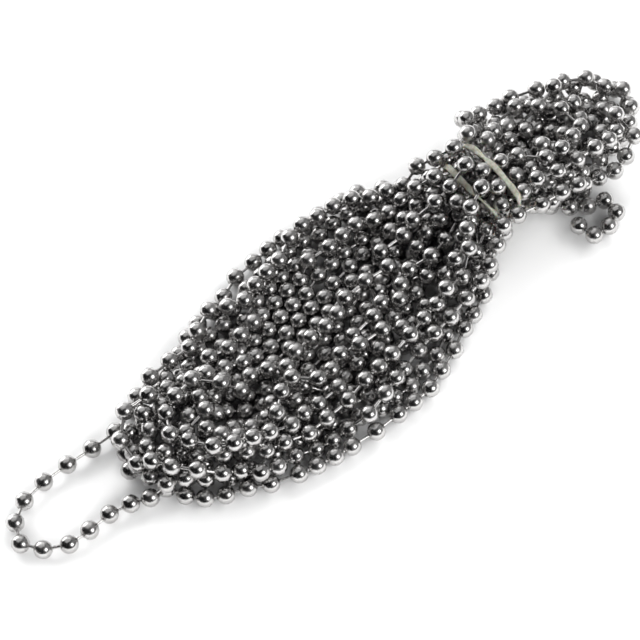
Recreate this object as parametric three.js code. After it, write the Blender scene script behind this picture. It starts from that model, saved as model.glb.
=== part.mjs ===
import * as THREE from "three";

// A hank of roller blind chain: hollow metal balls threaded on short pins, wound in long
// turns, pinched near one end by an elastic band and laid down flat. Millimetres, +Z up.
// +X runs from the one long turn that sticks out (the tail) to the short bights beyond
// the band (the head). While the chain is laid, x = 0 is the middle of the band.

// The chain: its balls, its pins and how far one ball lets the line turn
const BALL_DIAMETER = 4.5;
const PIN_DIAMETER = 1.0;
const PIN_SHOWN = 2.4;
const LAID_SLACK = 0.68;
const BEND_PER_BALL = THREE.MathUtils.degToRad(64);

// Clearances
const BALL_GAP = 0.06;
const PIN_GAP = 0.15;
const PIN_HIDDEN = 0.4;
const CUT_GAP = 0.3;
const BAND_GAP = 0.3;

// The hank
const TURNS = 10;
const TAIL_TURN = 3;
const TAIL_REACH = 145;
const TAIL_WIDTH = 22;
const PILE_REACH = 112;
const PILE_STAGGER = 20;
const BELLY_WIDTH = 60;
const HEAP_SHARE = 0.72;
const NECK_WIDTH = 27;
const NECK_HEIGHT = 19;
const HEAD_REACH = 50;
const HEAD_STAGGER = 25;
const HEAD_WIDTH = 33;
const BIGHT_LENGTH = 9;
const CURL_BALLS = 5;
const CURL_STEP = THREE.MathUtils.degToRad(60);
const CURL_CLEAR = 6.4;
const WANDER = 13;
const FLUTTER = 1.3;
const FLUTTER_TURN = { y: 2.4, z: 2.9 };

// The elastic band, wound twice round the neck
const BAND_WIDTH = 1.1;
const BAND_THICKNESS = 0.7;
const BAND_SPLAY = 4;
const BAND_LIFT = 0.15;

// How finely things are faced
const BALL_SIDES = 5;
const PIN_SIDES = 3;
const BAND_STEPS = 48;
const BAND_LOOKS = 720;

// How long the laid chain is left to settle, and the shares of it at which the heap is down
// in the neck, the pins start to push and the hands let go
const SETTLE_STEPS = 1500;
const FALL_PER_STEP = 0.06;
const PINS_PUSH = 0.5;
const HANDS_OFF = 0.85;
const PARALLEL = 0.2;

const BALL_RADIUS = BALL_DIAMETER / 2;
const PIN_RADIUS = PIN_DIAMETER / 2;
const PITCH_PULLED = BALL_DIAMETER + PIN_SHOWN;
const PITCH_CLOSED = BALL_DIAMETER + BALL_GAP;
const POLE = Math.sqrt(BALL_RADIUS ** 2 - PIN_RADIUS ** 2);
const BAND_BED = 2 * (BAND_THICKNESS + BAND_GAP) + BAND_GAP;
const NECK_REACH = BAND_SPLAY + BAND_WIDTH / 2 + BALL_RADIUS;
const PLAN_HEAD_NEAR = -0.42 * HEAD_WIDTH;

// Steps that never repeat, for what differs from turn to turn
const GOLDEN = 0.618034;
const SILVER = 0.754878;
const BRONZE = 0.56984;
const spread = (step, ratio, start = 0) => (start + step * ratio) % 1;

// The plan of the hank from tail to head: its far edge along +Y and its near edge along -Y
const PLAN = [
  { x: -TAIL_REACH, far: 0.46 * TAIL_WIDTH, near: -0.54 * TAIL_WIDTH },
  { x: -1.07 * PILE_REACH, far: 0.53 * TAIL_WIDTH, near: -0.47 * TAIL_WIDTH },
  { x: -0.98 * PILE_REACH, far: 0.17 * BELLY_WIDTH, near: -0.25 * BELLY_WIDTH },
  { x: -0.85 * PILE_REACH, far: 0.19 * BELLY_WIDTH, near: -0.44 * BELLY_WIDTH },
  { x: -0.72 * PILE_REACH, far: 0.29 * BELLY_WIDTH, near: -0.52 * BELLY_WIDTH },
  { x: -0.55 * PILE_REACH, far: 0.4 * BELLY_WIDTH, near: -0.58 * BELLY_WIDTH },
  { x: -0.42 * PILE_REACH, far: 0.44 * BELLY_WIDTH, near: -0.56 * BELLY_WIDTH },
  { x: -0.33 * PILE_REACH, far: 0.45 * BELLY_WIDTH, near: -0.49 * BELLY_WIDTH },
  { x: -0.17 * PILE_REACH, far: 0.42 * BELLY_WIDTH, near: -0.36 * BELLY_WIDTH },
  { x: 0, far: 0.5 * NECK_WIDTH, near: -0.5 * NECK_WIDTH },
  { x: 0.2 * HEAD_REACH, far: 0.68 * HEAD_WIDTH, near: PLAN_HEAD_NEAR },
  { x: 0.45 * HEAD_REACH, far: 0.58 * HEAD_WIDTH, near: -0.48 * HEAD_WIDTH },
  { x: 0.8 * HEAD_REACH, far: 0.48 * HEAD_WIDTH, near: -0.38 * HEAD_WIDTH },
  { x: HEAD_REACH, far: 0.48 * HEAD_WIDTH, near: 0 },
];

function planAt(x) {
  const next = PLAN.findIndex((station) => x < station.x);
  if (next <= 0) return PLAN.at(next);
  const [from, to] = [PLAN[next - 1], PLAN[next]];
  const share = (x - from.x) / (to.x - from.x);
  return {
    far: THREE.MathUtils.lerp(from.far, to.far, share),
    near: THREE.MathUtils.lerp(from.near, to.near, share),
  };
}

// A point of a turn: side runs from -1 at the near edge of the plan to 1 at its far edge
function across(x, side, z, wander = 0) {
  const { far, near } = planAt(x);
  const half = (far - near) / 2 - BALL_RADIUS;
  return new THREE.Vector3(x, (far + near) / 2 + side * half + wander, z);
}

// The free end lies curled on the floor beside the head, each ball against the next
function curledEnd() {
  const radius = PITCH_CLOSED / (2 * Math.sin(CURL_STEP / 2));
  const centre = new THREE.Vector3(0.36 * HEAD_REACH, PLAN_HEAD_NEAR - CURL_CLEAR, BALL_RADIUS);
  return Array.from({ length: CURL_BALLS }, (_, n) => {
    const angle = Math.PI + n * CURL_STEP;
    return new THREE.Vector3(Math.cos(angle), Math.sin(angle), 0).multiplyScalar(radius).add(centre);
  });
}

// How wide a turn is laid, as a share of the plan. The widest few lie on the floor by
// themselves, and the others are heaped between them.
function turnWidth(turn) {
  const share = spread(turn, GOLDEN, 0.35);
  if (turn === TAIL_TURN) return 0.85;
  return share > 0.9 ? share : (0.15 + 0.85 * share) * HEAP_SHARE;
}

// One turn: out along +Y, round the far bight, home along -Y and round a bight in the head
function turnRoute(turn) {
  const isTail = turn === TAIL_TURN;
  const width = turnWidth(turn);
  const reach = isTail ? TAIL_REACH - BALL_RADIUS
    : PILE_REACH - PILE_STAGGER * spread(turn, SILVER, 0.5);
  const head = HEAD_REACH - BALL_RADIUS - HEAD_STAGGER * spread(turn, BRONZE, 0.2);
  const z = BALL_DIAMETER * (0.75 + turn);
  const sway = width > HEAP_SHARE ? 0 : WANDER;
  const wander = (n) => sway * (spread(turn + n, GOLDEN, 0.13 + n * 0.38) - 0.5);
  const legs = [0, 0.22, 0.45, 0.7].map((share) => -share * PILE_REACH);
  const bight = isTail ? [-0.95 * PILE_REACH, -reach + BIGHT_LENGTH] : [-reach + 0.8 * BIGHT_LENGTH];
  const bightWidth = isTail ? 1 : Math.max(width, 0.5);
  const out = legs.map((x, n) => across(x, width, z, n ? wander(n) : 0));
  const home = legs.map((x, n) => across(x, -width, z, n ? wander(n + 4) : 0)).reverse();
  return [
    ...out,
    ...bight.map((x) => across(x, bightWidth, z)),
    across(-reach, 0.3, z),
    across(-reach, -0.3, z),
    ...bight.reverse().map((x) => across(x, -bightWidth, z)),
    ...home,
    across(head - BIGHT_LENGTH, -0.3 - 0.7 * width, z),
    across(head, -0.4, z + 0.3 * BALL_DIAMETER),
    across(head, 0.4, z + 0.7 * BALL_DIAMETER),
    across(head - BIGHT_LENGTH, 0.3 + 0.7 * turnWidth(turn + 1), z + BALL_DIAMETER),
    across(NECK_REACH + BALL_RADIUS, turnWidth(turn + 1) / HEAP_SHARE, z + BALL_DIAMETER),
  ];
}

// The centres of the balls along the whole route, at the spacing of a chain laid slack
function layBalls() {
  const curl = curledEnd();
  const route = [curl.at(-1), new THREE.Vector3(0.36 * HEAD_REACH, 0.5 * PLAN_HEAD_NEAR, 2 * BALL_RADIUS)];
  for (let turn = 0; turn < TURNS; turn++) route.push(...turnRoute(turn));
  const curve = new THREE.CatmullRomCurve3(route.slice(0, -3), false, "centripetal");
  curve.arcLengthDivisions = route.length * 30;
  const spacing = THREE.MathUtils.lerp(PITCH_CLOSED, PITCH_PULLED, LAID_SLACK);
  const laid = curve.getSpacedPoints(Math.round(curve.getLength() / spacing)).slice(1);
  laid.forEach((ball, index) => {
    if (ball.x < -PILE_REACH) return;
    ball.y += FLUTTER * Math.sin(index * FLUTTER_TURN.y);
    ball.z += FLUTTER * Math.cos(index * FLUTTER_TURN.z);
  });
  return [...curl, ...laid];
}

// Moves two balls along the line between them until they are target apart
function setApart(a, b, target) {
  const step = b.clone().sub(a);
  const distance = step.length() || 1;
  step.multiplyScalar((target - distance) / distance / 2);
  a.sub(step);
  b.add(step);
}

// Keeps neighbours on the chain between touching and pulled apart, and limits the bend
function holdChain(balls) {
  for (let i = 1; i < balls.length; i++) {
    const distance = balls[i - 1].distanceTo(balls[i]);
    if (distance > PITCH_PULLED) setApart(balls[i - 1], balls[i], PITCH_PULLED);
  }
  for (let i = balls.length - 2; i > 0; i--) {
    const [before, ball, after] = [balls[i - 1], balls[i], balls[i + 1]];
    const reach = before.distanceTo(ball) + ball.distanceTo(after);
    const least = reach * Math.cos(BEND_PER_BALL / 2);
    if (before.distanceTo(after) < least) setApart(before, after, least);
  }
}

// Pushes apart balls that run into each other, wherever they are on the chain
function holdBalls(balls, order) {
  order.sort((a, b) => balls[a].x - balls[b].x);
  order.forEach((first, place) => {
    const ball = balls[first];
    for (let next = place + 1; next < order.length; next++) {
      const other = balls[order[next]];
      if (other.x - ball.x > PITCH_CLOSED) break;
      if (Math.abs(other.y - ball.y) > PITCH_CLOSED) continue;
      if (ball.distanceTo(other) < PITCH_CLOSED) setApart(ball, other, PITCH_CLOSED);
    }
  });
}

// Pushes apart pins that would cross through each other
function holdPins(balls, order) {
  const reach = PIN_SHOWN + PIN_DIAMETER;
  const least = PIN_DIAMETER + PIN_GAP;
  order.forEach((first, place) => {
    for (let next = place + 1; next < order.length; next++) {
      const second = order[next];
      if (balls[second].x - balls[first].x > PITCH_PULLED + reach) break;
      if (Math.abs(first - second) < 2) continue;
      if (!balls[first + 1] || !balls[second + 1]) continue;
      const [a, b, c, d] = [balls[first], balls[first + 1], balls[second], balls[second + 1]];
      const between = c.clone().add(d).sub(a).sub(b).multiplyScalar(0.5);
      if (between.length() > reach) continue;
      const u = b.clone().sub(a);
      const v = d.clone().sub(c);
      const normal = u.clone().cross(v);
      if (normal.length() < PARALLEL * u.length() * v.length()) continue;
      normal.normalize();
      const apart = normal.dot(between);
      if (Math.abs(apart) >= least) continue;
      const push = normal.multiplyScalar((Math.sign(apart) || 1) * (least - Math.abs(apart)) / 2);
      a.sub(push);
      b.sub(push);
      c.add(push);
      d.add(push);
    }
  });
}

// The neck lies on the band, and all else on the floor
const bedUnder = (x) => (Math.abs(x) < NECK_REACH ? BAND_BED : 0);

// Draws the balls near x = 0 into the oval that the band makes, tighter as settling goes on
function pinchNeck(balls, looseness) {
  const halfWidth = NECK_WIDTH / 2 - BALL_RADIUS;
  const halfHeight = NECK_HEIGHT / 2 - BALL_RADIUS + looseness;
  for (const ball of balls) {
    if (Math.abs(ball.x) > NECK_REACH) continue;
    const centre = BAND_BED + BALL_RADIUS + halfHeight;
    const outside = Math.hypot(ball.y / halfWidth, (ball.z - centre) / halfHeight);
    if (outside <= 1) continue;
    ball.y /= outside;
    ball.z = centre + (ball.z - centre) / outside;
  }
}

// Tells the balls that are heaped in the middle of the belly from those that lie outside it
function findHeaped(balls) {
  return balls.map((ball) => {
    const middle = across(ball.x, 0, 0).y;
    const edge = across(ball.x, 1, 0).y - middle;
    return ball.x < 0 && ball.x > -PILE_REACH && Math.abs(ball.y - middle) < HEAP_SHARE * edge + FLUTTER;
  });
}

// Keeps the balls within the plan of the hank, as hands do that gather it up. The free end
// is let lie where it is.
function gather(balls, heaped) {
  for (let i = CURL_BALLS; i < balls.length; i++) {
    const most = heaped[i] ? HEAP_SHARE : 1;
    const [near, far] = [-most, most].map((side) => across(balls[i].x, side, 0).y);
    balls[i].y = THREE.MathUtils.clamp(balls[i].y, near, far);
  }
}

// Lets the laid chain sink and pack under its own weight until nothing runs into anything
function settle(balls) {
  const order = balls.map((ball, index) => index);
  const heaped = findHeaped(balls);
  const curl = balls.slice(0, CURL_BALLS).map((ball) => ball.clone());
  for (let step = 0; step < SETTLE_STEPS; step++) {
    const phase = step / SETTLE_STEPS;
    if (phase < HANDS_OFF) {
      balls.forEach((ball) => { ball.z -= FALL_PER_STEP; });
      gather(balls, heaped);
    }
    pinchNeck(balls, Math.max(0, PINS_PUSH - phase) * TURNS * BALL_DIAMETER);
    holdBalls(balls, order);
    if (phase > PINS_PUSH) holdPins(balls, order);
    holdChain(balls);
    balls.forEach((ball) => { ball.z = Math.max(ball.z, bedUnder(ball.x) + BALL_RADIUS); });
    curl.forEach((place, n) => balls[n].copy(place));
  }
}

// A regular ring of points round a centre, square to a direction
function ring(centre, direction, radius, sides, up) {
  const side = up.clone().cross(direction).normalize();
  const rise = direction.clone().cross(side).normalize();
  return Array.from({ length: sides }, (_, n) => {
    const angle = 2 * Math.PI * n / sides;
    return centre.clone()
      .addScaledVector(side, radius * Math.cos(angle))
      .addScaledVector(rise, radius * Math.sin(angle));
  });
}

// Joins a ring of points to the next one along, which may have more points or fewer
function joinRings(faces, from, to) {
  let [i, j] = [0, 0];
  while (i < from.count || j < to.count) {
    const [a, b] = [from.start + i % from.count, to.start + j % to.count];
    if ((i + 1) / from.count <= (j + 1) / to.count) {
      i += 1;
      faces.push(a, from.start + i % from.count, b);
    } else {
      j += 1;
      faces.push(a, to.start + j % to.count, b);
    }
  }
}

// A run of balls with the pins between them as one closed body. A pin that leads on to the
// next run stands out of the last ball and stops short of the ball that it would enter.
function chainRun(balls, first, end) {
  const positions = [];
  const faces = [];
  let up = new THREE.Vector3(0, 0, 1);
  let last = null;
  const addRing = (centre, direction, radius, count) => {
    const start = positions.length / 3;
    ring(centre, direction, radius, count, up).forEach((point) => positions.push(...point));
    if (last) joinRings(faces, last, { start, count });
    last = { start, count };
  };
  for (let i = first; i < end; i++) {
    const ball = balls[i];
    const before = balls[i - 1] ?? ball.clone().add(ball).sub(balls[i + 1]);
    const after = balls[i + 1] ?? ball.clone().add(ball).sub(before);
    const back = ball.clone().sub(before).normalize();
    const ahead = after.clone().sub(ball).normalize();
    const axis = back.clone().add(ahead).normalize();
    up = axis.clone().cross(up).cross(axis).normalize();
    const pinShows = (other) => ball.distanceTo(other) > PITCH_CLOSED + PIN_HIDDEN;
    if (i === first || pinShows(before)) {
      addRing(ball.clone().addScaledVector(back, -POLE), back, PIN_RADIUS, PIN_SIDES);
    }
    addRing(ball, axis, BALL_RADIUS, BALL_SIDES);
    if (i === end - 1 || pinShows(after)) {
      addRing(ball.clone().addScaledVector(ahead, POLE), ahead, PIN_RADIUS, PIN_SIDES);
    } else {
      addRing(ball.clone().lerp(after, 0.5), ahead, PIN_RADIUS, PIN_SIDES);
    }
  }
  if (end < balls.length) {
    const ahead = balls[end].clone().sub(balls[end - 1]).normalize();
    addRing(balls[end].clone().addScaledVector(ahead, -POLE - CUT_GAP), ahead, PIN_RADIUS, PIN_SIDES);
  }
  for (let n = 1; n + 1 < PIN_SIDES; n++) {
    faces.push(0, n + 1, n);
    faces.push(last.start, last.start + n, last.start + n + 1);
  }
  return closedGeometry(positions, faces);
}

function closedGeometry(positions, faces) {
  const geometry = new THREE.BufferGeometry();
  geometry.setAttribute("position", new THREE.Float32BufferAttribute(positions, 3));
  geometry.setIndex(faces);
  geometry.computeVertexNormals();
  return geometry;
}

// The line that the stretched band takes round the balls in the neck, by the direction
// that its outer face looks in: straight from ball to ball, and round each by an arc
function bandLine(balls, lift) {
  const near = balls
    .map((ball) => ({ ball, away: Math.max(0, Math.abs(ball.x) - BAND_SPLAY - BAND_WIDTH / 2) }))
    .filter(({ away }) => away < BALL_RADIUS);
  const line = Array.from({ length: BAND_LOOKS }, (_, n) => {
    const angle = 2 * Math.PI * n / BAND_LOOKS;
    const [y, z] = [Math.cos(angle), Math.sin(angle)];
    let best = { reach: -Infinity };
    for (const { ball, away } of near) {
      const radius = Math.sqrt(BALL_RADIUS ** 2 - away ** 2) + lift;
      const reach = ball.y * y + ball.z * z + radius;
      if (reach > best.reach) best = { reach, y: ball.y + radius * y, z: ball.z + radius * z };
    }
    return new THREE.Vector3(0, best.y, best.z);
  });
  return new THREE.CatmullRomCurve3(line, true, "centripetal");
}

// The band: one closed loop laid round the neck twice, crossing itself once underneath
function elasticBand(balls) {
  const bed = BAND_THICKNESS / 2 + BAND_GAP;
  const line = bandLine(balls, bed + BAND_LIFT);
  const round = line.getSpacedPoints(BAND_STEPS / 2);
  round.pop();
  const centre = new THREE.Vector3();
  round.forEach((point) => centre.addScaledVector(point, 1 / round.length));
  const start = round.indexOf(round.reduce((top, point) => (point.z > top.z ? point : top)));
  const points = [];
  for (let step = 0; step < BAND_STEPS; step++) {
    const base = round[(start + step) % round.length];
    const half = Math.PI * step / (BAND_STEPS / 2);
    const outward = base.clone().sub(centre).normalize();
    const rise = (BAND_THICKNESS + BAND_GAP) * Math.max(0, -Math.sin(half)) ** 3;
    const point = base.clone().addScaledVector(outward, rise);
    point.x = BAND_SPLAY * Math.cos(half);
    points.push(point);
  }
  return closedStrap(points, centre);
}

// A flat strap along a closed line, with its thickness pointing away from a centre
function closedStrap(points, centre) {
  const positions = [];
  const faces = [];
  const count = points.length;
  points.forEach((point, step) => {
    const before = points[(step + count - 1) % count];
    const after = points[(step + 1) % count];
    const along = after.clone().sub(before).normalize();
    const outward = point.clone().sub(centre).setX(0).normalize();
    const side = along.clone().cross(outward).normalize();
    const thick = side.clone().cross(along).normalize();
    for (const [s, t] of [[-1, -1], [-1, 1], [1, 1], [1, -1]]) {
      const corner = point.clone()
        .addScaledVector(side, s * BAND_WIDTH / 2)
        .addScaledVector(thick, t * BAND_THICKNESS / 2);
      positions.push(...corner.toArray());
    }
    const next = ((step + 1) % count) * 4;
    for (let n = 0; n < 4; n++) {
      const m = (n + 1) % 4;
      const here = step * 4;
      faces.push(here + n, here + m, next + n, here + m, next + m, next + n);
    }
  });
  return closedGeometry(positions, faces);
}

const chainMetal = new THREE.MeshStandardMaterial({ color: 0xb9b8b5, roughness: 0.16, metalness: 1 });
const elastic = new THREE.MeshStandardMaterial({ color: 0xd9dccb, roughness: 0.6, metalness: 0 });

const balls = layBalls();
settle(balls);
const hank = new THREE.Group();
for (let turn = 0; turn < TURNS; turn++) {
  const first = Math.round(balls.length * turn / TURNS);
  const end = Math.round(balls.length * (turn + 1) / TURNS);
  const mesh = new THREE.Mesh(chainRun(balls, first, end), chainMetal);
  mesh.name = `chain_turn_${String(turn + 1).padStart(2, "0")}`;
  hank.add(mesh);
}
const band = new THREE.Mesh(elasticBand(balls), elastic);
band.name = "elastic_band";
hank.add(band);

// The origin is under the middle of the hank, on the surface that it lies on
const box = new THREE.Box3().setFromObject(hank, true);
const middle = box.getCenter(new THREE.Vector3());
hank.position.set(-middle.x, -middle.y, -box.min.z);

export default hank;
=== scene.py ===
"""Dresses a hank of roller blind ball chain, tied with an elastic band.

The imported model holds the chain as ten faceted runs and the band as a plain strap. Each run is
read back as the line of its ball centres. The balls are set closer along that line, the band is
drawn tighter, and the balls are eased aside by contact rules. Round balls and pins are then set
along the eased line, and a softer strap is swept along the band's line.
"""

from __future__ import annotations

import logging
import math
from collections.abc import Iterable
from dataclasses import dataclass, field
from enum import Enum

import bmesh
import bpy
import numpy as np
from mathutils import Matrix, Vector

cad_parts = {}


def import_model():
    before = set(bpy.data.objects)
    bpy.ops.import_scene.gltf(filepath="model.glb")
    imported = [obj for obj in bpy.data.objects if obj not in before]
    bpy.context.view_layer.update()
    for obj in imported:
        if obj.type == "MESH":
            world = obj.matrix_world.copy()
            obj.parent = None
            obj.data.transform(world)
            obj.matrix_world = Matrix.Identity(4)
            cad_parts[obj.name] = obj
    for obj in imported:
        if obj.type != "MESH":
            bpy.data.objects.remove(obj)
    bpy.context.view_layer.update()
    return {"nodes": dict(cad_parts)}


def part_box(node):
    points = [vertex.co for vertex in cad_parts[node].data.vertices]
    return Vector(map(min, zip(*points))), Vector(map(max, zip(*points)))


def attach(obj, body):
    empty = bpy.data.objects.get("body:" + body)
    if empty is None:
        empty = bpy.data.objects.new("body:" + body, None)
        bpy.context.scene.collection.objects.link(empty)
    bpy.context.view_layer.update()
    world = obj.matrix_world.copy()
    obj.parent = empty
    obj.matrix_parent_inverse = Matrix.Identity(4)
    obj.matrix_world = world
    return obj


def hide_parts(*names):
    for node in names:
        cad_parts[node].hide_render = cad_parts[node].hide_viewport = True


LOG = logging.getLogger("blind_chain")

MM = 0.001
SAME_PLACE = 0.002 * MM
SAME_SHARE = 0.0001
BODY = "root"
RUN_PREFIX = "chain_turn_"
BAND_NODE = "elastic_band"

Colour = tuple[float, float, float]


class Slot(Enum):
    """The record's material slots."""

    METAL = "chain_metal"
    ELASTIC = "elastic"


class Domain(Enum):
    """Where an attribute of a line is kept."""

    POINT = "POINT"
    EDGE = "EDGE"


class NodeTree:
    """A short way to add nodes and links to a shader or geometry tree."""

    def __init__(self, tree: bpy.types.NodeTree) -> None:
        """Takes an empty or cleared tree.

        Args:
            tree: The tree that nodes are added to.
        """
        self.tree = tree

    @classmethod
    def geometry(cls, name: str, sizes: list[str], output: str) -> NodeTree:
        """Starts a geometry tree that takes a line, some sizes and a finish.

        Args:
            name: The tree's name.
            sizes: The names of the inputs for its sizes.
            output: The name of what it gives.

        Returns:
            The tree, with its inputs and its output.
        """
        tree = bpy.data.node_groups.new(name, "GeometryNodeTree")
        kinds = {"Line": "Geometry", **dict.fromkeys(sizes, "Float"), "Finish": "Material"}
        for socket, kind in kinds.items():
            tree.interface.new_socket(socket, in_out="INPUT", socket_type=f"NodeSocket{kind}")
        tree.interface.new_socket(output, in_out="OUTPUT", socket_type="NodeSocketGeometry")
        return cls(tree)

    def end(self, shape: bpy.types.NodeSocket, finish: bpy.types.NodeSocket) -> None:
        """Ends a geometry tree: its instances are made real and get their finish.

        Args:
            shape: The finished shape.
            finish: The input for the finish.
        """
        real = self.add("GeometryNodeRealizeInstances")
        self.link(shape, real.inputs["Geometry"])
        coat = self.add("GeometryNodeSetMaterial")
        self.link(real.outputs["Geometry"], coat.inputs["Geometry"])
        self.link(finish, coat.inputs["Material"])
        self.link(coat.outputs["Geometry"], self.add("NodeGroupOutput").inputs[0])

    def add(self, kind: str, **settings: object) -> bpy.types.Node:
        """Adds one node and sets its properties.

        Args:
            kind: Blender's name for the node type.
            **settings: Properties of the node and their values.

        Returns:
            The new node.
        """
        node = self.tree.nodes.new(kind)
        for name, value in settings.items():
            setattr(node, name, value)
        return node

    def link(self, source: bpy.types.NodeSocket, target: bpy.types.NodeSocket) -> None:
        """Links an output socket to an input socket."""
        self.tree.links.new(source, target)

    def noise(self, place: bpy.types.NodeSocket, per_metre: float, detail: float) -> bpy.types.NodeSocket:
        """Adds a noise pattern.

        Args:
            place: The coordinates that it is read at.
            per_metre: Its scale.
            detail: How many finer patterns lie on it.

        Returns:
            The socket that gives its strength.
        """
        noise = self.add("ShaderNodeTexNoise")
        noise.inputs["Scale"].default_value = per_metre
        noise.inputs["Detail"].default_value = detail
        self.link(place, noise.inputs["Vector"])
        return noise.outputs["Fac"]

    def ramp(
        self, value: bpy.types.NodeSocket, ends: tuple[float, float], colours: tuple[Colour, Colour]
    ) -> bpy.types.NodeSocket:
        """Adds a ramp between two colours.

        Args:
            value: The value that it follows.
            ends: The values where it starts and ends.
            colours: Its colours there.

        Returns:
            The socket that gives the colour.
        """
        ramp = self.add("ShaderNodeValToRGB")
        for stop, end, colour in zip(ramp.color_ramp.elements, ends, colours):
            stop.position = end
            stop.color = (*colour, 1.0)
        self.link(value, ramp.inputs["Fac"])
        return ramp.outputs["Color"]

    def bump(self, height: bpy.types.NodeSocket, strength: float, distance: float) -> bpy.types.NodeSocket:
        """Adds a bump.

        Args:
            height: The pattern that it follows.
            strength: Its strength, from 0 to 1.
            distance: Its height in metres.

        Returns:
            The socket that gives the surface's normal.
        """
        bump = self.add("ShaderNodeBump")
        bump.inputs["Strength"].default_value = strength
        bump.inputs["Distance"].default_value = distance
        self.link(height, bump.inputs["Height"])
        return bump.outputs["Normal"]

    def named(self, name: str, kind: str) -> bpy.types.NodeSocket:
        """Reads a named attribute of the geometry.

        Args:
            name: The attribute's name.
            kind: Its data type.

        Returns:
            The socket that gives its value.
        """
        node = self.add("GeometryNodeInputNamedAttribute", data_type=kind)
        node.inputs["Name"].default_value = name
        return node.outputs["Attribute"]


@dataclass(frozen=True)
class NickelPlate:
    """Bright nickel plate with fine handling marks and slightly uneven gloss."""

    colour: Colour = (0.61, 0.602, 0.595)
    shade: Colour = (0.50, 0.493, 0.487)
    shade_ends: tuple[float, float] = (0.32, 0.62)
    roughness: tuple[float, float] = (0.19, 0.31)
    roughness_ends: tuple[float, float] = (0.3, 0.7)
    cloud_per_metre: float = 260.0
    cloud_detail: float = 3.0
    mark_per_metre: float = 2600.0
    mark_detail: float = 2.0
    mark_strength: float = 0.25
    mark_height: float = 0.012 * MM

    def material(self) -> bpy.types.Material:
        """Builds the node material.

        Returns:
            The finished material.
        """
        finish = bpy.data.materials.new("nickel_plate")
        finish.use_nodes = True
        net = NodeTree(finish.node_tree)
        shader = finish.node_tree.nodes["Principled BSDF"]
        shader.inputs["Metallic"].default_value = 1.0
        place = net.add("ShaderNodeTexCoord").outputs["Object"]
        clouds = net.noise(place, self.cloud_per_metre, self.cloud_detail)
        net.link(net.ramp(clouds, self.shade_ends, (self.shade, self.colour)), shader.inputs["Base Color"])
        gloss = net.add("ShaderNodeMapRange")
        limits = self.roughness_ends + self.roughness
        for name, value in zip(("From Min", "From Max", "To Min", "To Max"), limits):
            gloss.inputs[name].default_value = value
        net.link(clouds, gloss.inputs["Value"])
        net.link(gloss.outputs["Result"], shader.inputs["Roughness"])
        marks = net.noise(place, self.mark_per_metre, self.mark_detail)
        net.link(net.bump(marks, self.mark_strength, self.mark_height), shader.inputs["Normal"])
        return finish


@dataclass(frozen=True)
class PaleLatex:
    """Thin pale latex, slightly green and translucent, with a dusty matt skin."""

    colour: Colour = (0.92, 0.92, 0.82)
    shade: Colour = (0.66, 0.67, 0.54)
    shade_ends: tuple[float, float] = (0.3, 0.6)
    roughness: float = 0.55
    translucence: float = 0.25
    depth: float = 0.5 * MM
    grain_per_metre: float = 1500.0
    grain_detail: float = 4.0
    grain_strength: float = 0.4
    grain_height: float = 0.03 * MM

    def material(self) -> bpy.types.Material:
        """Builds the node material.

        Returns:
            The finished material.
        """
        finish = bpy.data.materials.new("pale_latex")
        finish.use_nodes = True
        net = NodeTree(finish.node_tree)
        shader = finish.node_tree.nodes["Principled BSDF"]
        shader.inputs["Roughness"].default_value = self.roughness
        shader.inputs["Subsurface Weight"].default_value = self.translucence
        shader.inputs["Subsurface Scale"].default_value = self.depth
        place = net.add("ShaderNodeTexCoord").outputs["Object"]
        grain = net.noise(place, self.grain_per_metre, self.grain_detail)
        net.link(net.ramp(grain, self.shade_ends, (self.shade, self.colour)), shader.inputs["Base Color"])
        net.link(net.bump(grain, self.grain_strength, self.grain_height), shader.inputs["Normal"])
        return finish


@dataclass(frozen=True)
class StudioPaint:
    """The plain finish of the things that stand round the hank."""

    name: str
    colour: Colour
    roughness: float

    def material(self) -> bpy.types.Material:
        """Builds the node material.

        Returns:
            The finished material.
        """
        finish = bpy.data.materials.new(self.name)
        finish.use_nodes = True
        shader = finish.node_tree.nodes["Principled BSDF"]
        shader.inputs["Base Color"].default_value = (*self.colour, 1.0)
        shader.inputs["Roughness"].default_value = self.roughness
        return finish


class SolidGraph:
    """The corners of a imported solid, joined into groups by its short edges."""

    def __init__(self, node: bpy.types.Object, short: float) -> None:
        """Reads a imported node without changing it.

        Args:
            node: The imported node's object.
            short: An edge under this length, in metres, joins its two corners in a group.
        """
        solid = bmesh.new()
        solid.from_mesh(node.data)
        bmesh.ops.remove_doubles(solid, verts=solid.verts, dist=SAME_PLACE)
        solid.verts.ensure_lookup_table()
        self.corners = [vert.co.copy() for vert in solid.verts]
        self.near: list[set[int]] = [set() for _ in self.corners]
        self.short: list[set[int]] = [set() for _ in self.corners]
        for edge in solid.edges:
            a, b = edge.verts[0].index, edge.verts[1].index
            kind = self.short if edge.calc_length() < short else self.near
            kind[a].add(b)
            kind[b].add(a)
        solid.free()

    def groups(self, links: list[set[int]], members: set[int]) -> list[list[int]]:
        """Splits some corners into groups that are joined by links.

        Args:
            links: For each corner, the corners that it is joined to.
            members: The corners to split.

        Returns:
            The groups, each a list of corners.
        """
        left, found = set(members), []
        while left:
            stack = [min(left)]
            left.discard(stack[0])
            group = []
            while stack:
                corner = stack.pop()
                group.append(corner)
                for other in sorted(links[corner] & left):
                    left.discard(other)
                    stack.append(other)
            found.append(group)
        return found

    def middle(self, group: list[int]) -> Vector:
        """Returns the mean place of a group's corners."""
        return sum((self.corners[c] for c in group), Vector()) / len(group)


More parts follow.
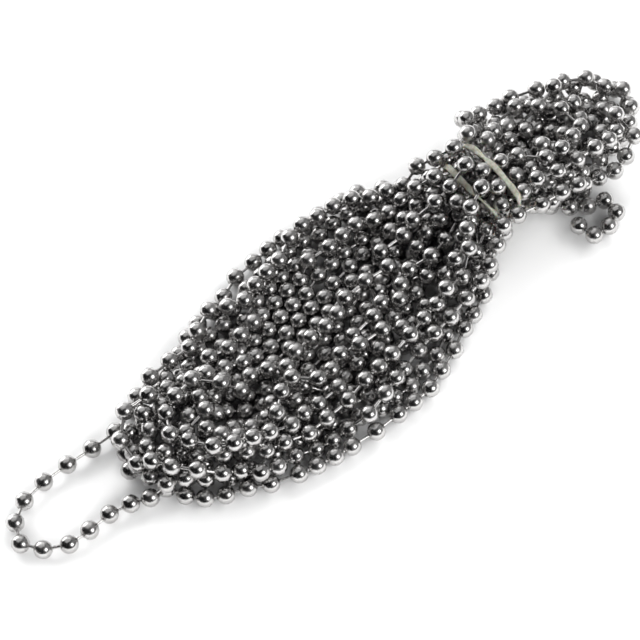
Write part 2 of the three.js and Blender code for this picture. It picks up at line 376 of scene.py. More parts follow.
@dataclass
class BallLine:
    """The ball centres of one run of chain.

    Attributes:
        node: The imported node's name.
        balls: The centres in order.
        stub: The far end of a pin that stands out of the last ball, or None.
    """

    node: str
    balls: list[Vector]
    stub: Vector | None

    @classmethod
    def read(cls, name: str, node: bpy.types.Object, ring: float, ahead_of: Vector | None) -> BallLine:
        """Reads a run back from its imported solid.

        A ball shows as a belt of corners between two small rings, which are the ends of pins.
        A run whose last pin stands out of its last ball ends in a ring that no belt follows.

        Args:
            name: The node's name.
            node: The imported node's object.
            ring: The longest edge of the small rings, in metres.
            ahead_of: The end of the run before, or None for the first run.

        Returns:
            The run's ball centres, from its first ball to its last.
        """
        graph = SolidGraph(node, ring)
        thin = {c for c, links in enumerate(graph.short) if links}
        belts = graph.groups(graph.near, set(range(len(graph.corners))) - thin)
        links = [near | short for near, short in zip(graph.near, graph.short)]
        pins = graph.groups(links, thin)
        belt_of = {corner: place for place, belt in enumerate(belts) for corner in belt}
        joined: list[list[int]] = [[] for _ in belts]
        loose: dict[int, list[int]] = {}
        for pin in pins:
            ends = sorted({belt_of[o] for c in pin for o in links[c] if o in belt_of})
            if len(ends) == 2:
                joined[ends[0]].append(ends[1])
                joined[ends[1]].append(ends[0])
            else:
                loose[ends[0]] = pin
        ends = sorted(loose, key=lambda place: len(loose[place]))
        first = ends[0]
        if ahead_of is not None:
            first = min(ends, key=lambda place: (graph.middle(belts[place]) - ahead_of).length)
        order = [first]
        while len(order) < len(belts):
            order.append(next(place for place in joined[order[-1]] if place not in order[-2:]))
        balls = [graph.middle(belts[place]) for place in order]
        tip = loose[order[-1]]
        small = min(len(pin) for pin in pins)
        if len(tip) == small:
            return cls(name, balls, None)
        far = sorted(tip, key=lambda c: (graph.corners[c] - balls[-1]).length)[-small:]
        return cls(name, balls, graph.middle(far))


def mesh_from(name: str, points: list[Vector], faces: list[list[int]], smooth: bool) -> bpy.types.Mesh:
    """Makes a mesh from points and faces.

    Args:
        name: The mesh's name.
        points: Its corners.
        faces: Its faces, as corner numbers that run round outwards.
        smooth: Whether its faces are shaded smooth.

    Returns:
        The mesh.
    """
    mesh = bpy.data.meshes.new(name)
    mesh.from_pydata(points, [], faces)
    mesh.shade_smooth() if smooth else mesh.shade_flat()
    mesh.update()
    return mesh


def store(mesh: bpy.types.Mesh, name: str, kind: str, domain: Domain, values: list) -> None:
    """Stores a named attribute on a mesh.

    Args:
        mesh: The mesh.
        name: The attribute's name.
        kind: Its data type.
        domain: Where it is kept.
        values: One value for each point or edge.
    """
    attribute = mesh.attributes.new(name, kind, domain.value)
    field_name = "vector" if kind == "FLOAT_VECTOR" else "value"
    for item, value in zip(attribute.data, values):
        setattr(item, field_name, value)


def turned(name: str, profile: list[tuple[float, float]], sides: int) -> bpy.types.Mesh:
    """Turns a profile round the Z axis into a closed mesh.

    Args:
        name: The mesh's name.
        profile: Radius and height of each point, from the lowest pole to the highest.
        sides: How many faces go round.

    Returns:
        The mesh, with a single corner at each pole.
    """
    points = [Vector((0.0, 0.0, profile[0][1]))]
    for radius, height in profile[1:-1]:
        for side in range(sides):
            angle = 2 * math.pi * side / sides
            points.append(Vector((radius * math.cos(angle), radius * math.sin(angle), height)))
    points.append(Vector((0.0, 0.0, profile[-1][1])))
    rings = len(profile) - 2
    faces = [[0, 1 + (side + 1) % sides, 1 + side] for side in range(sides)]
    for ring in range(rings - 1):
        low, high = 1 + ring * sides, 1 + (ring + 1) * sides
        for side in range(sides):
            after = (side + 1) % sides
            faces.append([low + side, low + after, high + after, high + side])
    top, last = len(points) - 1, 1 + (rings - 1) * sides
    faces += [[last + side, last + (side + 1) % sides, top] for side in range(sides)]
    return mesh_from(name, points, faces, smooth=True)


@dataclass
class Touching:
    """Pairs that may come to touch, and how far apart their middles are when they do."""

    one: np.ndarray
    other: np.ndarray
    clear: float

    def only(self, chosen: np.ndarray) -> Touching:
        """Returns some of the pairs."""
        return Touching(self.one[chosen], self.other[chosen], self.clear)

    def force(self, ways: np.ndarray) -> np.ndarray:
        """Returns a push along each pair's way, by as much as it is too short."""
        length = np.linalg.norm(ways, axis=1)[:, None]
        return ways * np.maximum(self.clear - length, 0.0) / length


class Pushes:
    """The pushes on each ball in one step."""

    def __init__(self, count: int) -> None:
        """Starts with none.

        Args:
            count: The number of balls.
        """
        self.total = np.zeros((count, 3))
        self.hits = np.zeros(count)

    def add(self, balls: np.ndarray, force: np.ndarray) -> None:
        """Adds a push to each of some balls."""
        np.add.at(self.total, balls, force)
        np.add.at(self.hits, balls, np.abs(force).sum(1) > 0.0)

    def mean(self) -> np.ndarray:
        """Returns the mean push on each ball."""
        return self.total / np.maximum(self.hits, 1.0)[:, None]


@dataclass
class Cinch:
    """The squeeze of the elastic band and the slack of the chain.

    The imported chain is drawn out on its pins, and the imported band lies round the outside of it.
    Here the balls are set closer along the same line and the band is drawn tighter. Then the
    balls are eased off each other, the pins, the band and the floor. The easing takes the band
    as a round cord, and it doesn't test pins against pins.

    Attributes:
        ball_diameter: The balls' diameter.
        pin_diameter: The pins' diameter.
        strap_room: The diameter of the round cord that the easing takes for the band.
        link: The least and the most that two neighbouring balls stand apart.
        slide: How far the band is moved along the hank.
        bite: How much deeper the band lies, on the wrap by the belly and on the one by the head.
        bite_height: The heights between which the bite grows from nothing to its full depth.
        closeness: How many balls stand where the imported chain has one.
        unevenness: How far a ball may stand off its even place, as a share of the pitch.
        seed: The seed of the unevenness.
        loop_end: How far along the hank the long loop at the tail ends.
        largest_bend: The largest bend of the chain at a ball.
        nearby: How far apart two things may be that are looked after in the easing.
        steps: How many steps the easing has.
        gain: How much of its mean push a ball follows in a step.
    """

    ball_diameter: float
    pin_diameter: float
    strap_room: float = 1.2 * MM
    link: tuple[float, float] = (4.56 * MM, 6.96 * MM)
    slide: float = -1.5 * MM
    bite: tuple[float, float] = (5.0 * MM, 3.0 * MM)
    bite_height: tuple[float, float] = (2.0 * MM, 8.0 * MM)
    closeness: float = 1.22
    unevenness: float = 0.45
    seed: int = 1
    loop_end: float = -62.0 * MM
    largest_bend: float = math.radians(75.0)
    nearby: float = 7.0 * MM
    steps: int = 400
    gain: float = 1.4

    def squeeze(self, lines: list[BallLine], middles: list[Vector], outward: list[Vector]) -> list[Vector]:
        """Sets the balls closer, tightens the band and eases the balls aside.

        Args:
            lines: The runs of chain, whose balls are changed.
            middles: The band's line.
            outward: The way that each of its points faces.

        Returns:
            The band's tighter line.
        """
        tight = self.tighten(middles, outward)
        balls, run = self.respace(lines)
        eased = self.ease(balls, np.array([tuple(point) for point in tight]))
        for number, line in enumerate(lines):
            line.balls = [Vector(ball) for ball in eased[run == number]]
        return tight

    def respace(self, lines: list[BallLine]) -> tuple[np.ndarray, np.ndarray]:
        """Sets more balls along the same line, a little unevenly, except in the loop at the tail.

        Args:
            lines: The runs of chain.

        Returns:
            The ball centres in order, and the number of the run that each belongs to.
        """
        balls = np.array([tuple(ball) for line in lines for ball in line.balls])
        numbers = np.arange(len(balls))
        count = np.cumsum(np.where(balls[:, 0] < self.loop_end, 1.0, self.closeness))
        place = np.interp(np.linspace(count[0], count[-1], round(count[-1] - count[0]) + 1), count, numbers)
        loose = np.interp(place, numbers, balls[:, 0]) > self.loop_end
        loose[[0, -1]] = False
        shift = np.random.default_rng(self.seed).uniform(-self.unevenness, self.unevenness, len(place))
        place += loose * shift
        before = np.minimum(place.astype(int), len(balls) - 2)
        share = (place - before)[:, None]
        run_ends = np.cumsum([len(line.balls) for line in lines])
        run = np.searchsorted(run_ends, place, "right")
        return balls[before] * (1.0 - share) + balls[before + 1] * share, run

    def tighten(self, middles: list[Vector], outward: list[Vector]) -> list[Vector]:
        """Draws the band in, deeper on the wrap that is nearer the belly.

        Args:
            middles: The band's line.
            outward: The way that each of its points faces.

        Returns:
            The tighter line.
        """
        along = [middle.x for middle in middles]
        wraps = (min(along), max(along))
        slide = Vector((self.slide, 0.0, 0.0))
        line = []
        for middle, out in zip(middles, outward):
            share = np.interp(middle.z, self.bite_height, (0.0, 1.0))
            depth = np.interp(middle.x, wraps, self.bite) * share
            line.append(middle - out * depth + slide)
        return line

    @staticmethod
    def ways(points: np.ndarray, starts: np.ndarray, ends: np.ndarray) -> tuple[np.ndarray, np.ndarray]:
        """Finds the shortest way from each segment to its point.

        Args:
            points: The points.
            starts: The start of the segment beside each point.
            ends: Its end.

        Returns:
            The ways as vectors, and how far along its segment each begins, from 0 to 1.
        """
        along, reach = ends - starts, points - starts
        share = np.clip((reach * along).sum(-1) / (along**2).sum(-1), 0.0, 1.0)[..., None]
        return reach - share * along, share

    def near(self, ways: np.ndarray, clear: float) -> Touching:
        """Lists the pairs that are near enough to come to touch."""
        return Touching(*np.nonzero(np.linalg.norm(ways, axis=2) < clear + self.nearby), clear)

    def ease(self, balls: np.ndarray, band: np.ndarray) -> np.ndarray:
        """Eases the balls aside.

        Args:
            balls: The chain's ball centres in order.
            band: The band's line, which is closed.

        Returns:
            The eased centres.
        """
        balls, after = balls.copy(), np.roll(band, -1, axis=0)
        starts, ends = balls[None, :-1], balls[None, 1:]
        ball_clear = (self.ball_diameter + self.pin_diameter) / 2
        band_clear = (self.ball_diameter + self.strap_room) / 2
        pin_clear = self.pin_diameter + self.strap_room / 2
        both = self.near(balls[:, None] - balls[None], self.ball_diameter)
        both = both.only(both.one < both.other)
        at_pin = self.near(self.ways(balls[:, None], starts, ends)[0], ball_clear)
        at_pin = at_pin.only((at_pin.one != at_pin.other) & (at_pin.one != at_pin.other + 1))
        at_band = self.near(self.ways(balls[:, None], band[None], after[None])[0], band_clear)
        crossing = self.near(self.ways(band[:, None], starts, ends)[0], pin_clear)
        for _ in range(self.steps):
            push = Pushes(len(balls))
            self.part_chain(balls, both, at_pin, push)
            way, _ = self.ways(balls[at_band.one], band[at_band.other], after[at_band.other])
            push.add(at_band.one, at_band.force(way))
            way, _ = self.ways(band[crossing.one], balls[crossing.other], balls[crossing.other + 1])
            force = crossing.force(way)
            push.add(crossing.other, -force)
            push.add(crossing.other + 1, -force)
            self.hold_chain(balls, push)
            balls += self.gain * push.mean()
            balls[:, 2] = np.maximum(balls[:, 2], self.ball_diameter / 2)
        return balls

    def part_chain(self, balls: np.ndarray, both: Touching, at_pin: Touching, push: Pushes) -> None:
        """Pushes balls off balls and off pins.

        Args:
            balls: The ball centres.
            both: The pairs of balls.
            at_pin: The pairs of a ball and a pin.
            push: The pushes, which this adds to.
        """
        force = both.force(balls[both.one] - balls[both.other])
        push.add(both.one, force / 2)
        push.add(both.other, -force / 2)
        way, share = self.ways(balls[at_pin.one], balls[at_pin.other], balls[at_pin.other + 1])
        force = at_pin.force(way)
        push.add(at_pin.one, force / 2)
        push.add(at_pin.other, -force * (1.0 - share) / 2)
        push.add(at_pin.other + 1, -force * share / 2)

    def hold_chain(self, balls: np.ndarray, push: Pushes) -> None:
        """Keeps the pins' travel and the largest bend.

        Args:
            balls: The ball centres.
            push: The pushes, which this adds to.
        """
        along = np.diff(balls, axis=0)
        length = np.linalg.norm(along, axis=1)[:, None]
        pull = along * (length - np.clip(length, *self.link)) / length / 2
        push.add(np.arange(len(along)), pull)
        push.add(np.arange(len(along)) + 1, -pull)
        chord = balls[2:] - balls[:-2]
        span = np.linalg.norm(chord, axis=1)[:, None]
        least = (length[:-1] + length[1:]) * np.cos(self.largest_bend / 2)
        unbend = chord * np.maximum(least - span, 0.0) / span / 2
        push.add(np.arange(len(chord)), -unbend)
        push.add(np.arange(len(chord)) + 2, unbend)


@dataclass
class BallChain:
    """The metal chain: hollow balls that run on short pins, wound in a hank."""

    metal: NickelPlate = field(default_factory=NickelPlate)
    ball_diameter: float = 4.5 * MM
    hole_diameter: float = 1.35 * MM
    dimple_depth: float = 0.35 * MM
    pin_diameter: float = 0.82 * MM
    pin_overlap: float = 0.1 * MM
    pin_ring: float = 1.2 * MM
    ball_sides: int = 12
    ball_bands: int = 6
    pin_sides: int = 8

    def lines(self, nodes: dict[str, bpy.types.Object]) -> list[BallLine]:
        """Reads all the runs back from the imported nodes, in order along the chain.

        Args:
            nodes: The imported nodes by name.

        Returns:
            One line of ball centres for each run.
        """
        found: list[BallLine] = []
        for name in sorted(n for n in nodes if n.startswith(RUN_PREFIX)):
            ahead_of = found[-1].stub if found else None
            found.append(BallLine.read(name, nodes[name], self.pin_ring, ahead_of))
        return found

    def ball(self) -> bpy.types.Object:
        """Makes the pattern ball, one unit across, with a dimple where each pin goes in.

        Returns:
            The pattern's object, its holes along Z.
        """
        hole = self.hole_diameter / self.ball_diameter / 2
        depth = self.dimple_depth / self.ball_diameter
        start = math.asin(hole / 0.5)
        profile = [(0.0, -0.5 * math.cos(start) + depth)]
        for band in range(self.ball_bands + 1):
            angle = start + (math.pi - 2 * start) * band / self.ball_bands
            profile.append((0.5 * math.sin(angle), -0.5 * math.cos(angle)))
        profile.append((0.0, 0.5 * math.cos(start) - depth))
        mesh = turned("pattern_ball", profile, self.ball_sides)
        self.crease(mesh, hole)
        return bpy.data.objects.new(mesh.name, mesh)

    @staticmethod
    def crease(mesh: bpy.types.Mesh, hole: float) -> None:
        """Marks the rims of the holes sharp, so that the ball's shading stays round up to them.

        Args:
            mesh: The pattern ball's mesh.
            hole: The rims' radius.
        """
        rim = [abs(math.hypot(corner.co.x, corner.co.y) - hole) < SAME_SHARE for corner in mesh.vertices]
        sharp = [all(rim[c] for c in edge.vertices) for edge in mesh.edges]
        store(mesh, "sharp_edge", "BOOLEAN", Domain.EDGE, sharp)

    def pin(self) -> bpy.types.Object:
        """Makes the pattern pin, one unit across and one long, along Z.

        Returns:
            The pattern's object.
        """
        profile = [(0.0, -0.5), (0.5, -0.5), (0.5, 0.5), (0.0, 0.5)]
        mesh = turned("pattern_pin", profile, self.pin_sides)
        high = [corner.co.z > 0 for corner in mesh.vertices]
        sharp = [high[edge.vertices[0]] == high[edge.vertices[1]] for edge in mesh.edges]
        store(mesh, "sharp_edge", "BOOLEAN", Domain.EDGE, sharp)
        return bpy.data.objects.new(mesh.name, mesh)

    def tree(self, ball: bpy.types.Object, pin: bpy.types.Object) -> bpy.types.NodeTree:
        """Builds the tree that sets balls and pins along a line.

        Args:
            ball: The pattern ball.
            pin: The pattern pin.

        Returns:
            The tree, with named inputs for the two diameters and the finish.
        """
        net = NodeTree.geometry("balls_on_pins", ["Ball Diameter", "Pin Diameter", "Pin Bury"], "Chain")
        given = net.add("NodeGroupInput").outputs
        balls = self.set_balls(net, given, ball)
        pins = self.set_pins(net, given, pin)
        join = net.add("GeometryNodeJoinGeometry")
        net.link(balls, join.inputs["Geometry"])
        net.link(pins, join.inputs["Geometry"])
        net.end(join.outputs["Geometry"], given["Finish"])
        return net.tree

    def set_balls(
        self, net: NodeTree, given: bpy.types.bpy_prop_collection, ball: bpy.types.Object
    ) -> bpy.types.NodeSocket:
        """Adds the nodes that set a ball on each marked point of the line.

        Args:
            net: The tree.
            given: The tree's inputs.
            ball: The pattern ball.

        Returns:
            The socket that gives the balls.
        """
        shape = net.add("GeometryNodeObjectInfo")
        shape.inputs["Object"].default_value = ball
        turn = net.add("FunctionNodeAlignRotationToVector", axis="Z")
        net.link(net.named("hole_axis", "FLOAT_VECTOR"), turn.inputs["Vector"])
        place = net.add("GeometryNodeInstanceOnPoints")
        net.link(given["Line"], place.inputs["Points"])
        net.link(net.named("has_ball", "BOOLEAN"), place.inputs["Selection"])
        net.link(shape.outputs["Geometry"], place.inputs["Instance"])
        net.link(turn.outputs["Rotation"], place.inputs["Rotation"])
        net.link(given["Ball Diameter"], place.inputs["Scale"])
        return place.outputs["Instances"]

    def set_pins(
        self, net: NodeTree, given: bpy.types.bpy_prop_collection, pin: bpy.types.Object
    ) -> bpy.types.NodeSocket:
        """Adds the nodes that set a pin on each marked edge of the line.

        Args:
            net: The tree.
            given: The tree's inputs.
            pin: The pattern pin.

        Returns:
            The socket that gives the pins.
        """
        shape = net.add("GeometryNodeObjectInfo")
        shape.inputs["Object"].default_value = pin
        ends = net.add("GeometryNodeInputMeshEdgeVertices")
        along = net.add("ShaderNodeVectorMath", operation="SUBTRACT")
        net.link(ends.outputs["Position 2"], along.inputs[0])
        net.link(ends.outputs["Position 1"], along.inputs[1])
        keep = net.add("GeometryNodeStoreNamedAttribute", data_type="FLOAT_VECTOR", domain="EDGE")
        keep.inputs["Name"].default_value = "pin_axis"
        net.link(given["Line"], keep.inputs["Geometry"])
        net.link(along.outputs["Vector"], keep.inputs["Value"])
        middles = net.add("GeometryNodeMeshToPoints", mode="EDGES")
        net.link(keep.outputs["Geometry"], middles.inputs["Mesh"])
        net.link(net.named("has_pin", "BOOLEAN"), middles.inputs["Selection"])
        axis = net.named("pin_axis", "FLOAT_VECTOR")
        turn = net.add("FunctionNodeAlignRotationToVector", axis="Z")
        net.link(axis, turn.inputs["Vector"])
        length = net.add("ShaderNodeVectorMath", operation="LENGTH")
        net.link(axis, length.inputs[0])
        shown = net.add("ShaderNodeMath", operation="SUBTRACT")
        net.link(length.outputs["Value"], shown.inputs[0])
        net.link(given["Pin Bury"], shown.inputs[1])
        size = net.add("ShaderNodeCombineXYZ")
        net.link(given["Pin Diameter"], size.inputs["X"])
        net.link(given["Pin Diameter"], size.inputs["Y"])
        net.link(shown.outputs["Value"], size.inputs["Z"])
        place = net.add("GeometryNodeInstanceOnPoints")
        net.link(middles.outputs["Points"], place.inputs["Points"])
        net.link(shape.outputs["Geometry"], place.inputs["Instance"])
        net.link(turn.outputs["Rotation"], place.inputs["Rotation"])
        net.link(size.outputs["Vector"], place.inputs["Scale"])
        return place.outputs["Instances"]

    def line_mesh(self, lines: list[BallLine], place: int) -> bpy.types.Mesh:
        """Makes the line of one run, with the last ball before it and the first one after.

        Args:
            lines: All the runs.
            place: The number of the run.

        Returns:
            A mesh of points and edges that says where balls and pins go and how balls turn.
        """
        run = lines[place].balls
        before = [lines[place - 1].balls[-1]] if place > 0 else []
        after = [lines[place + 1].balls[0]] if place + 1 < len(lines) else []
        points = before + run + after
        mesh = bpy.data.meshes.new(lines[place].node)
        mesh.from_pydata(points, [(n, n + 1) for n in range(len(points) - 1)], [])
        own = range(len(before), len(before) + len(run))
        steps = [(b - a).normalized() for a, b in zip(points, points[1:])]
        axes = [a + b for a, b in zip([Vector()] + steps, steps + [Vector()])]
        store(mesh, "hole_axis", "FLOAT_VECTOR", Domain.POINT, [axis.normalized() for axis in axes])
        store(mesh, "has_ball", "BOOLEAN", Domain.POINT, [n in own for n in range(len(points))])
        store(mesh, "has_pin", "BOOLEAN", Domain.EDGE, [n in own for n in range(len(steps))])
        return mesh

    def build(self, lines: list[BallLine]) -> list[bpy.types.Object]:
        """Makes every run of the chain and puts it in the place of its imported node.

        Args:
            lines: The runs' ball centres.

        Returns:
            The finished pieces.
        """
        tree = self.tree(self.ball(), self.pin())
        finish = self.metal.material()
        bury = self.ball_diameter - 2 * self.dimple_depth - 2 * self.pin_overlap
        values = {
            "Ball Diameter": self.ball_diameter,
            "Pin Diameter": self.pin_diameter,
            "Pin Bury": bury,
            "Finish": finish,
        }
        pieces = []
        for place, line in enumerate(lines):
            mesh = self.line_mesh(lines, place)
            piece = grown(f"ball_{line.node}", mesh, tree, values)
            settle_piece(piece, line.node)
            LOG.info("%s: %d balls", piece.name, len(line.balls))
            pieces.append(piece)
        return pieces


def grown(
    name: str, mesh: bpy.types.Mesh, tree: bpy.types.NodeTree, values: dict[str, object]
) -> bpy.types.Object:
    """Grows a piece on a mesh with a geometry tree, and keeps only the plain result.

    Args:
        name: The piece's name.
        mesh: The mesh that the tree starts from.
        tree: The tree.
        values: The tree's named inputs and their values.

    Returns:
        The piece's object, at the origin and with no modifier.
    """
    seed = bpy.data.objects.new(f"{name}_line", mesh)
    bpy.context.scene.collection.objects.link(seed)
    modifier = seed.modifiers.new("grow", "NODES")
    modifier.node_group = tree
    sockets = {item.name: item.identifier for item in tree.interface.items_tree if item.in_out == "INPUT"}
    for key, value in values.items():
        modifier[sockets[key]] = value
    graph = bpy.context.evaluated_depsgraph_get()
    result = bpy.data.meshes.new_from_object(seed.evaluated_get(graph), depsgraph=graph)
    seed.modifiers.remove(modifier)
    bpy.data.objects.remove(seed)
    result.name = name
    piece = bpy.data.objects.new(name, result)
    bpy.context.scene.collection.objects.link(piece)
    return piece


def settle_piece(piece: bpy.types.Object, node: str) -> None:
    """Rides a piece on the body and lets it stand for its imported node."""
    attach(piece, BODY)
    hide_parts(node)


@dataclass
class ElasticBand:
    """The pale band that is wound twice round the neck of the hank."""

    latex: PaleLatex = field(default_factory=PaleLatex)
    width: float = 1.55 * MM
    thickness: float = 0.6 * MM
    section_edge: float = 1.3 * MM
    rounding: float = 0.3
    step: float = 0.6 * MM
    roll: float = 4.2
    roll_per_metre: float = 120.0

    def line(self, node: bpy.types.Object) -> tuple[list[Vector], list[Vector]]:
        """Reads the band's line back from its packed strap.

        Args:
            node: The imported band's object.

        Returns:
            The middles of the strap's sections in order, and the way that each faces.
        """
        graph = SolidGraph(node, self.section_edge)
        sections = graph.groups(graph.short, set(range(len(graph.corners))))
        section_of = {corner: place for place, group in enumerate(sections) for corner in group}
        touching = [
            {section_of[o] for c in group for o in graph.near[c]} - {place}
            for place, group in enumerate(sections)
        ]
        order = [0]
        while len(order) < len(sections):
            order.append(next(p for p in sorted(touching[order[-1]]) if p not in order))
        middles = [graph.middle(sections[place]) for place in order]
        centre = sum(middles, Vector()) / len(middles)
        outward = [Vector((0.0, m.y - centre.y, m.z - centre.z)).normalized() for m in middles]
        return middles, outward

    def tree(self) -> bpy.types.NodeTree:
        """Builds the tree that sweeps the strap's rounded section along its line.

        Returns:
            The tree, with named inputs for the section, the step and the finish.
        """
        net = NodeTree.geometry("rubber_strap", ["Width", "Thickness", "Step", "Roll"], "Strap")
        given = net.add("NodeGroupInput").outputs
        curve = net.add("GeometryNodeMeshToCurve")
        net.link(given["Line"], curve.inputs["Mesh"])
        even = net.add("GeometryNodeResampleCurve", mode="LENGTH")
        net.link(curve.outputs["Curve"], even.inputs["Curve"])
        net.link(given["Step"], even.inputs["Length"])
        facing = net.add("GeometryNodeSetCurveNormal", mode="FREE")
        net.link(even.outputs["Curve"], facing.inputs["Curve"])
        net.link(net.named("outward", "FLOAT_VECTOR"), facing.inputs["Normal"])
        sway = net.add("ShaderNodeTexNoise", noise_dimensions="3D")
        sway.inputs["Scale"].default_value = self.roll_per_metre
        both_ways = net.add("ShaderNodeMath", operation="MULTIPLY_ADD")
        net.link(sway.outputs["Fac"], both_ways.inputs[0])
        # Twice the pattern less one runs from -1 to 1, so the strap rolls both ways.
        both_ways.inputs[1].default_value = 2.0
        both_ways.inputs[2].default_value = -1.0
        lean = net.add("ShaderNodeMath", operation="MULTIPLY")
        net.link(both_ways.outputs["Value"], lean.inputs[0])
        net.link(given["Roll"], lean.inputs[1])
        tilt = net.add("GeometryNodeSetCurveTilt")
        net.link(facing.outputs["Curve"], tilt.inputs["Curve"])
        net.link(lean.outputs["Value"], tilt.inputs["Tilt"])
        section = net.add("GeometryNodeCurvePrimitiveQuadrilateral", mode="RECTANGLE")
        net.link(given["Thickness"], section.inputs["Width"])
        net.link(given["Width"], section.inputs["Height"])
        soften = net.add("GeometryNodeFilletCurve")
        soften.inputs["Radius"].default_value = self.rounding * self.thickness
        net.link(section.outputs["Curve"], soften.inputs["Curve"])
        sweep = net.add("GeometryNodeCurveToMesh")
        net.link(tilt.outputs["Curve"], sweep.inputs["Curve"])
        net.link(soften.outputs["Curve"], sweep.inputs["Profile Curve"])
        net.end(sweep.outputs["Mesh"], given["Finish"])
        return net.tree

    def build(self, line: list[Vector], outward: list[Vector]) -> bpy.types.Object:
        """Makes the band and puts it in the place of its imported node.

        Args:
            line: The band's line.
            outward: The way that each of its points faces.

        Returns:
            The finished piece.
        """
        mesh = bpy.data.meshes.new("band_line")
        count = len(line)
        mesh.from_pydata(line, [(n, (n + 1) % count) for n in range(count)], [])
        store(mesh, "outward", "FLOAT_VECTOR", Domain.POINT, outward)
        values = {
            "Width": self.width,
            "Thickness": self.thickness,
            "Step": self.step,
            "Roll": self.roll,
            "Finish": self.latex.material(),
        }
        piece = grown("rubber_band", mesh, self.tree(), values)
        piece.data.shade_smooth()
        settle_piece(piece, BAND_NODE)
        LOG.info("%s: %d faces", piece.name, len(piece.data.polygons))
        return piece


@dataclass(frozen=True)
class Softbox:
    """A square lamp.

    Its direction from the hank is along the studio's right, up and back, its distance and side
    are in metres, and its glow is how many times as bright as white it looks.
    """

    name: str
    seen: tuple[float, float, float]
    far: float
    side: float
    glow: float


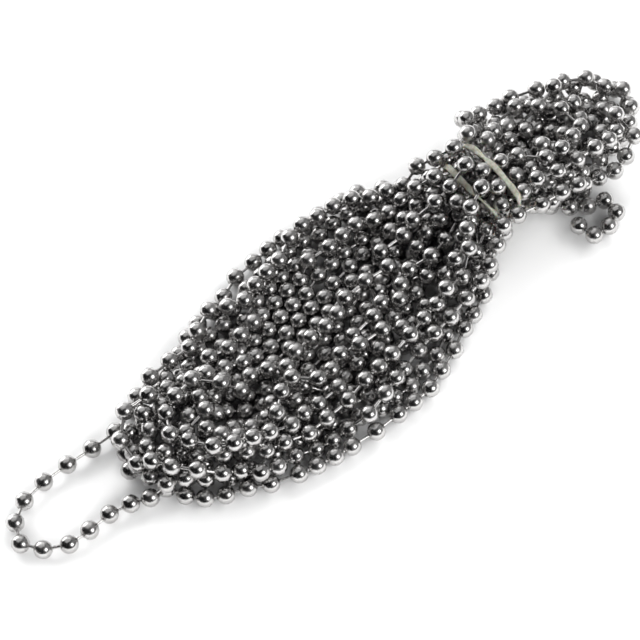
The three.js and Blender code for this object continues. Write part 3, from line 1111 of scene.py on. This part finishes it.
@dataclass
class Studio:
    """The floor, the lights and the camera."""

    paper: StudioPaint = StudioPaint("pale_floor", (0.6, 0.6, 0.6), 0.6)
    felt: StudioPaint = StudioPaint("black_felt", (0.01, 0.01, 0.01), 1.0)
    floor_side: float = 4.0
    azimuth: float = -41.8
    elevation: float = 53.0
    distance: float = 0.7
    photo_side: float = 640.0
    scale: float = 4.09 / MM
    band_pixel: tuple[float, float] = (484.0, 189.5)
    band_height: float = 9.0 * MM
    sensor: float = 36.0
    clip: tuple[float, float] = (0.01, 20.0)
    surround: tuple[float, float, float] = (0.02, 0.02, 0.021)
    card_seen: tuple[float, float, float] = (-0.74, -0.10, 0.66)
    card_far: float = 0.9
    card_side: float = 0.65
    softboxes: tuple[Softbox, ...] = (
        Softbox("key", (0.68, 0.03, 0.73), 2.0, 0.8, 4.4),
        Softbox("key_halo", (0.68, 0.03, 0.73), 2.1, 1.9, 0.55),
        Softbox("ceiling", (-0.24, 0.86, 0.44), 1.9, 2.4, 0.55),
        Softbox("backdrop", (-0.12, 0.95, -0.25), 2.2, 2.4, 0.55),
        Softbox("right_fill", (0.74, 0.64, 0.05), 2.3, 2.2, 0.25),
        Softbox("left_rim", (-0.70, 0.66, -0.27), 2.0, 1.5, 2.4),
    )
    ring_lamps: int = 12
    ring_elevation: float = 30.0
    ring_far: float = 2.5
    ring_side: float = 1.3
    ring_glow: float = 5.0

    def axes(self) -> Matrix:
        """Returns the studio's right, up and back, seen along its line of sight, as columns."""
        az, el = math.radians(self.azimuth), math.radians(self.elevation)
        right = Vector((math.cos(az), math.sin(az), 0.0))
        back = Vector((math.sin(az) * math.cos(el), -math.cos(az) * math.cos(el), math.sin(el)))
        up = back.cross(right)
        return Matrix((right, up, back)).transposed()

    def place_camera(self) -> None:
        """Sets the camera so that the band stands where it does in the photograph.

        The studio's line of sight runs from the camera to the band. The camera aims past it, so that
        the middle of the photograph is the middle of its view.
        """
        low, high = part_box(BAND_NODE)
        band = Vector(((low.x + high.x) / 2, (low.y + high.y) / 2, self.band_height))
        right, up, back = self.axes().transposed()
        focal = self.scale * self.distance
        across = (self.band_pixel[0] - self.photo_side / 2) / focal
        above = (self.photo_side / 2 - self.band_pixel[1]) / focal
        sight = (back + right * across + up * above).normalized()
        level = (right - sight * right.dot(sight)).normalized()
        turn = Matrix((level, sight.cross(level), sight)).transposed().to_4x4()
        data = bpy.data.cameras.new("camera")
        data.sensor_width = self.sensor
        data.lens = focal * self.sensor / self.photo_side
        data.clip_start, data.clip_end = self.clip
        camera = bpy.data.objects.new("camera", data)
        camera.matrix_world = Matrix.Translation(band + back * self.distance) @ turn
        bpy.context.scene.collection.objects.link(camera)
        bpy.context.scene.camera = camera

    @staticmethod
    def sheet(name: str, side: float, place: Matrix, paint: StudioPaint) -> bpy.types.Object:
        """Sets up a square sheet, which is no part of the hank.

        Args:
            name: Its name.
            side: Its side in metres.
            place: Its place, with its face along Z.
            paint: Its finish.

        Returns:
            The sheet.
        """
        half = side / 2
        corners = [Vector((x * half, y * half, 0.0)) for x, y in ((-1, -1), (1, -1), (1, 1), (-1, 1))]
        mesh = mesh_from(name, [place @ corner for corner in corners], [[0, 1, 2, 3]], smooth=False)
        mesh.materials.append(paint.material())
        sheet = bpy.data.objects.new(name, mesh)
        bpy.context.scene.collection.objects.link(sheet)
        return sheet

    def facing(self, seen: tuple[float, float, float], far: float) -> Matrix:
        """Works out a place that faces the hank.

        Args:
            seen: Its direction from the hank, along the studio's right, up and back.
            far: Its distance in metres.

        Returns:
            The place as a matrix whose Z axis points away from the hank.
        """
        direction = (self.axes() @ Vector(seen)).normalized()
        return Matrix.Translation(direction * far) @ direction.to_track_quat("Z", "Y").to_matrix().to_4x4()

    def lamp(self, box: Softbox) -> bpy.types.Object:
        """Hangs a softbox that faces the hank.

        Args:
            box: The softbox.

        Returns:
            The lamp.
        """
        data = bpy.data.lights.new(box.name, "AREA")
        data.shape = "SQUARE"
        data.size = box.side
        data.energy = box.glow * math.pi * box.side**2
        lamp = bpy.data.objects.new(box.name, data)
        lamp.matrix_world = self.facing(box.seen, box.far)
        bpy.context.scene.collection.objects.link(lamp)
        return lamp

    def floor_ring(self) -> list[bpy.types.Object]:
        """Rings the floor with low lamps that whiten it.

        Returns:
            The lamps.
        """
        ring = []
        low = math.radians(self.ring_elevation)
        for n in range(self.ring_lamps):
            turn = 2 * math.pi * n / self.ring_lamps
            place = Vector((math.cos(turn) * math.cos(low), math.sin(turn) * math.cos(low), math.sin(low)))
            seen = tuple(self.axes().transposed() @ place)
            box = Softbox(f"floor_{n + 1}", seen, self.ring_far, self.ring_side, self.ring_glow)
            ring.append(self.lamp(box))
        return ring

    @staticmethod
    def light_only(
        name: str, lamps: Iterable[bpy.types.Object], lit: Iterable[bpy.types.Object]
    ) -> None:
        """Lets some lamps light some objects and no others.

        Args:
            name: A name for the lit objects.
            lamps: The lamps.
            lit: The objects that they light.
        """
        receivers = bpy.data.collections.new(f"lit_{name}")
        for thing in lit:
            receivers.objects.link(thing)
        for lamp in lamps:
            lamp.light_linking.receiver_collection = receivers

    def light(self, pieces: list[bpy.types.Object]) -> None:
        """Lays the pale floor and adds the lamps, a dim surround and a black card.

        The card stands to the left, and the balls show it as a dark spot.

        Args:
            pieces: The pieces of the hank.
        """
        floor = self.sheet("floor", self.floor_side, Matrix(), self.paper)
        lamps = [self.lamp(box) for box in self.softboxes]
        self.light_only("hank", lamps, pieces)
        self.light_only("ground", self.floor_ring(), [floor])
        self.sheet("dark_card", self.card_side, self.facing(self.card_seen, self.card_far), self.felt)
        world = bpy.data.worlds.new("surround")
        world.use_nodes = True
        world.node_tree.nodes["Background"].inputs["Color"].default_value = (*self.surround, 1.0)
        bpy.context.scene.world = world
        bpy.context.scene.view_settings.view_transform = "Standard"
        bpy.context.scene.view_settings.look = "Medium High Contrast"


def main() -> None:
    """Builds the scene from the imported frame."""
    logging.basicConfig(level=logging.INFO, format="%(name)s: %(message)s")
    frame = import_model()
    studio = Studio()
    studio.place_camera()
    chain, band = BallChain(), ElasticBand()
    lines = chain.lines(frame["nodes"])
    middles, outward = band.line(frame["nodes"][BAND_NODE])
    cinch = Cinch(chain.ball_diameter, chain.pin_diameter)
    tight = cinch.squeeze(lines, middles, outward)
    pieces = [*chain.build(lines), band.build(tight, outward)]
    studio.light(pieces)


if __name__ == "__main__":
    main()
